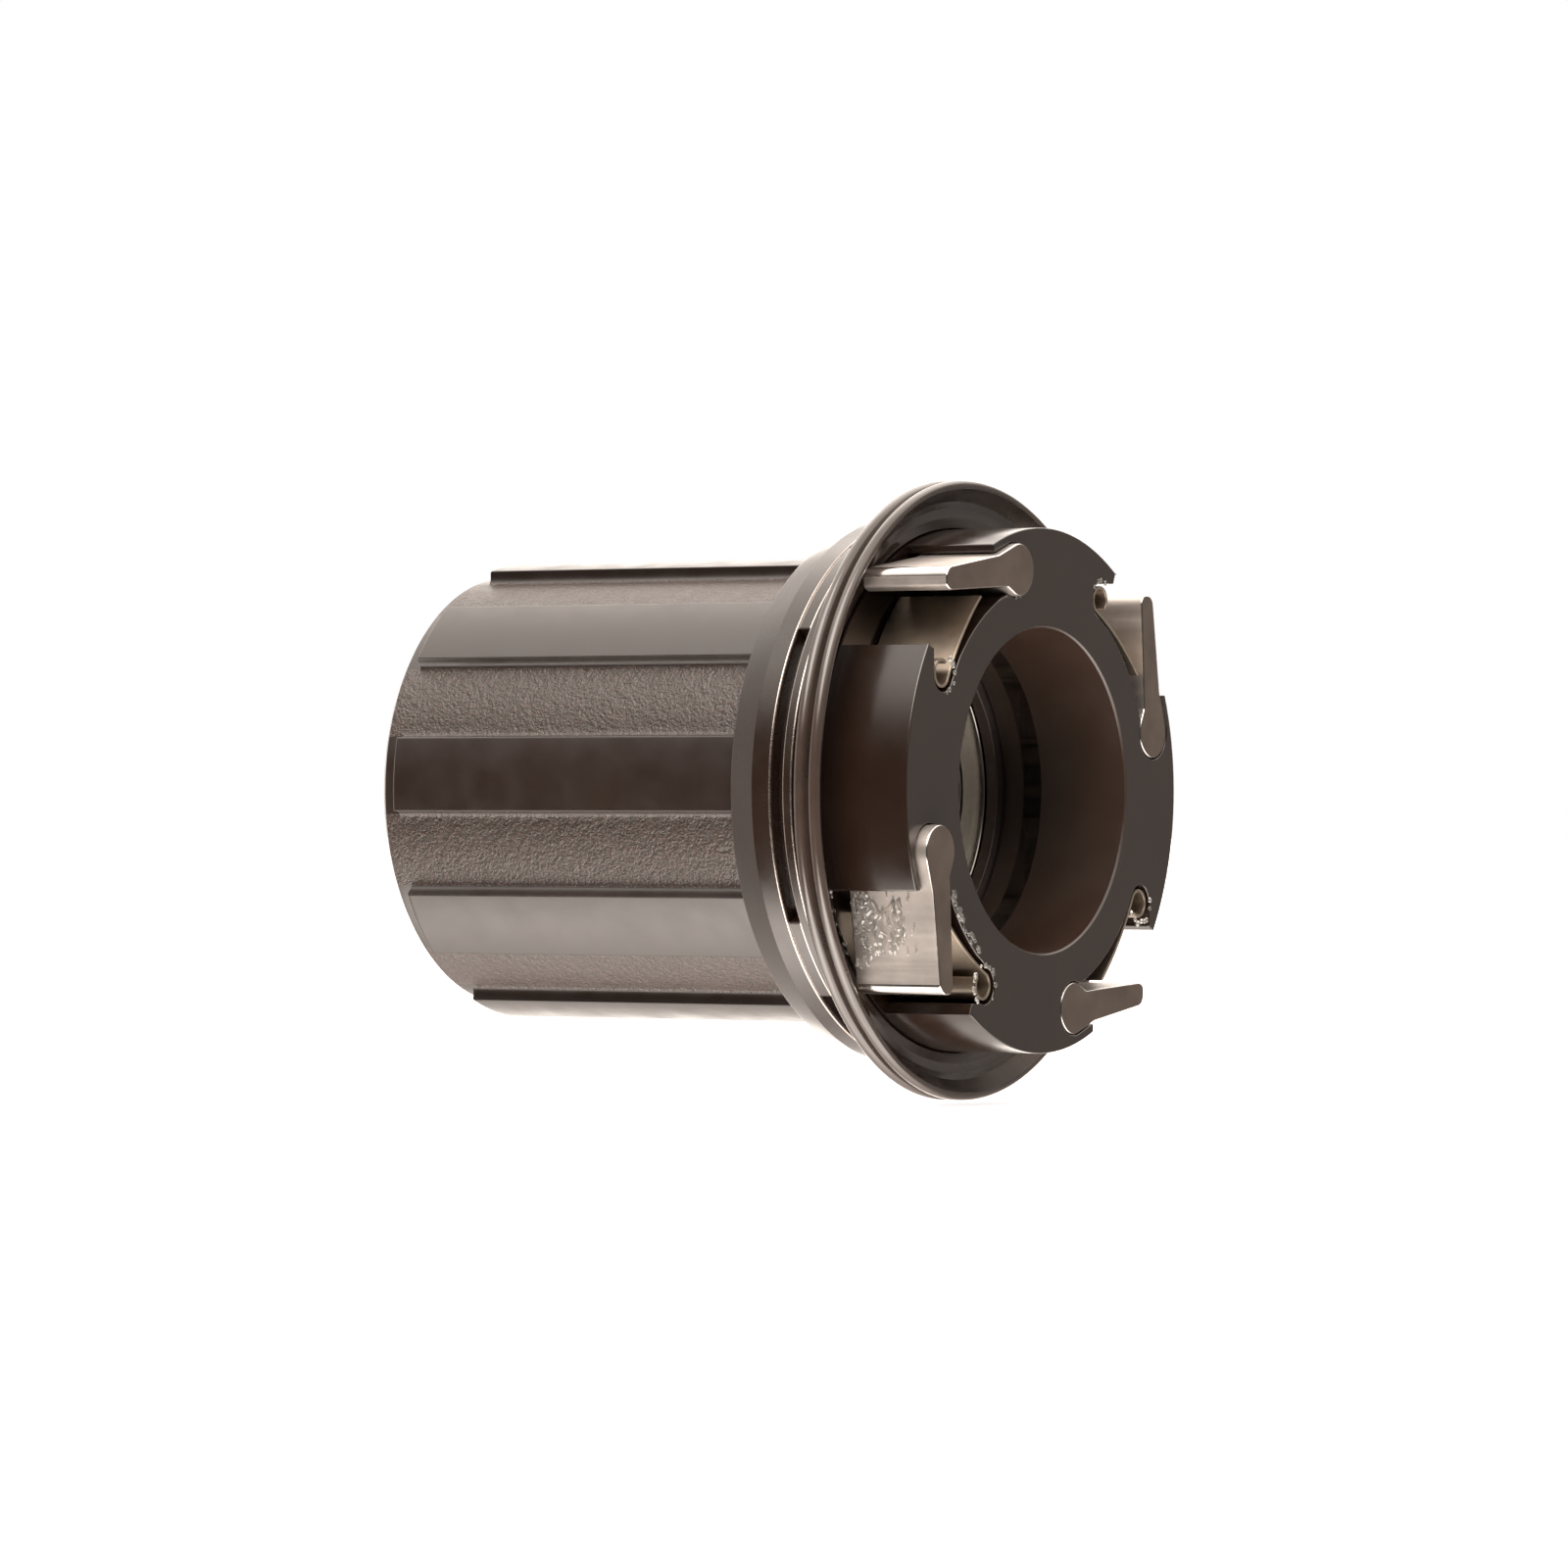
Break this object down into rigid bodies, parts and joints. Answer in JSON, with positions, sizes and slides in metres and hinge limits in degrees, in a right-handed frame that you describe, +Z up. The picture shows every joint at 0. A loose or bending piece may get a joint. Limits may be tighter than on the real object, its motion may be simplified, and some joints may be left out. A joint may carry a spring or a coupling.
{
  "type": "cassette freehub body",
  "caption": "Splined cassette freehub body with sprung ratchet pawls in an end carrier, a twin-lip rubber seal and cartridge bearings inside for the hub axle.",
  "frame": {"origin": "middle of the whole assembly on the spin axis", "axes": "+Y along the spin axis from the splined outboard end towards the pawl end, +Z up, +X to the side"},
  "size_m": [0.0462, 0.0494, 0.0462],
  "materials": {
    "anodised_body": "dark anodised, fine grained in the spline grooves and satin on the ridges",
    "seal_rubber": "smooth, lightly greased",
    "pawl_steel": "ground satin",
    "spring_steel": "bright strip",
    "race_steel": "ground and polished",
    "cage_metal": "pressed, with polished balls",
    "shield_face": "pale satin cover",
    "spacer_alloy": "turned satin",
    "ring_steel": "blackened spring steel"
  },
  "bodies": {
    "freehub_body": {"cassette_body": "anodised_body", "lip_seal": "seal_rubber", "outboard_outer_race": "race_steel", "inboard_outer_race": "race_steel", "outboard_shield_outer": "shield_face", "outboard_shield_inner": "shield_face", "inboard_shield_outer": "shield_face", "inboard_shield_inner": "shield_face", "outboard_snap_ring": "ring_steel", "inboard_snap_ring": "ring_steel", "pawl_spring_1": "spring_steel", "pawl_spring_2": "spring_steel", "pawl_spring_3": "spring_steel", "pawl_spring_4": "spring_steel"},
    "pawl_1_body": {"pawl_1": "pawl_steel"},
    "pawl_2_body": {"pawl_2": "pawl_steel"},
    "pawl_3_body": {"pawl_3": "pawl_steel"},
    "pawl_4_body": {"pawl_4": "pawl_steel"},
    "axle_sleeve": {"outboard_inner_race": "race_steel", "inboard_inner_race": "race_steel", "bearing_spacer": "spacer_alloy"},
    "outboard_balls": {"outboard_ball_cage": "cage_metal"},
    "inboard_balls": {"inboard_ball_cage": "cage_metal"}
  },
  "joints": [
    {"name": "pawl_1_pivot", "type": "hinge", "parent": "freehub_body", "child": "pawl_1_body", "pos_m": [-0.0162, 0.02019, 0.0044], "axis": [0, 1, 0], "range_deg": [0, 15], "stiffness_Nm_per_rad": 0.01, "springref_deg": -28.65, "deforming": ["pawl_spring_1"]},
    {"name": "pawl_2_pivot", "type": "hinge", "parent": "freehub_body", "child": "pawl_2_body", "pos_m": [0.0044, 0.02019, 0.0162], "axis": [0, 1, 0], "range_deg": [0, 15], "stiffness_Nm_per_rad": 0.01, "springref_deg": -28.65, "deforming": ["pawl_spring_2"]},
    {"name": "pawl_3_pivot", "type": "hinge", "parent": "freehub_body", "child": "pawl_3_body", "pos_m": [0.0162, 0.02019, -0.0044], "axis": [0, 1, 0], "range_deg": [0, 15], "stiffness_Nm_per_rad": 0.01, "springref_deg": -28.65, "deforming": ["pawl_spring_3"]},
    {"name": "pawl_4_pivot", "type": "hinge", "parent": "freehub_body", "child": "pawl_4_body", "pos_m": [-0.0044, 0.02019, -0.0162], "axis": [0, 1, 0], "range_deg": [0, 15], "stiffness_Nm_per_rad": 0.01, "springref_deg": -28.65, "deforming": ["pawl_spring_4"]},
    {"name": "axle_sleeve_spin", "type": "hinge", "parent": "freehub_body", "child": "axle_sleeve", "pos_m": [0, 0, 0], "axis": [0, 1, 0], "continuous": true},
    {"name": "outboard_ball_orbit", "type": "hinge", "parent": "freehub_body", "child": "outboard_balls", "pos_m": [0, -0.01125, 0], "axis": [0, 1, 0], "continuous": true},
    {"name": "inboard_ball_orbit", "type": "hinge", "parent": "freehub_body", "child": "inboard_balls", "pos_m": [0, 0.00945, 0], "axis": [0, 1, 0], "continuous": true}
  ],
  "couplings": [
    {"joint": "outboard_ball_orbit", "follows": "axle_sleeve_spin", "ratio": 0.441},
    {"joint": "inboard_ball_orbit", "follows": "axle_sleeve_spin", "ratio": 0.441}
  ]
}
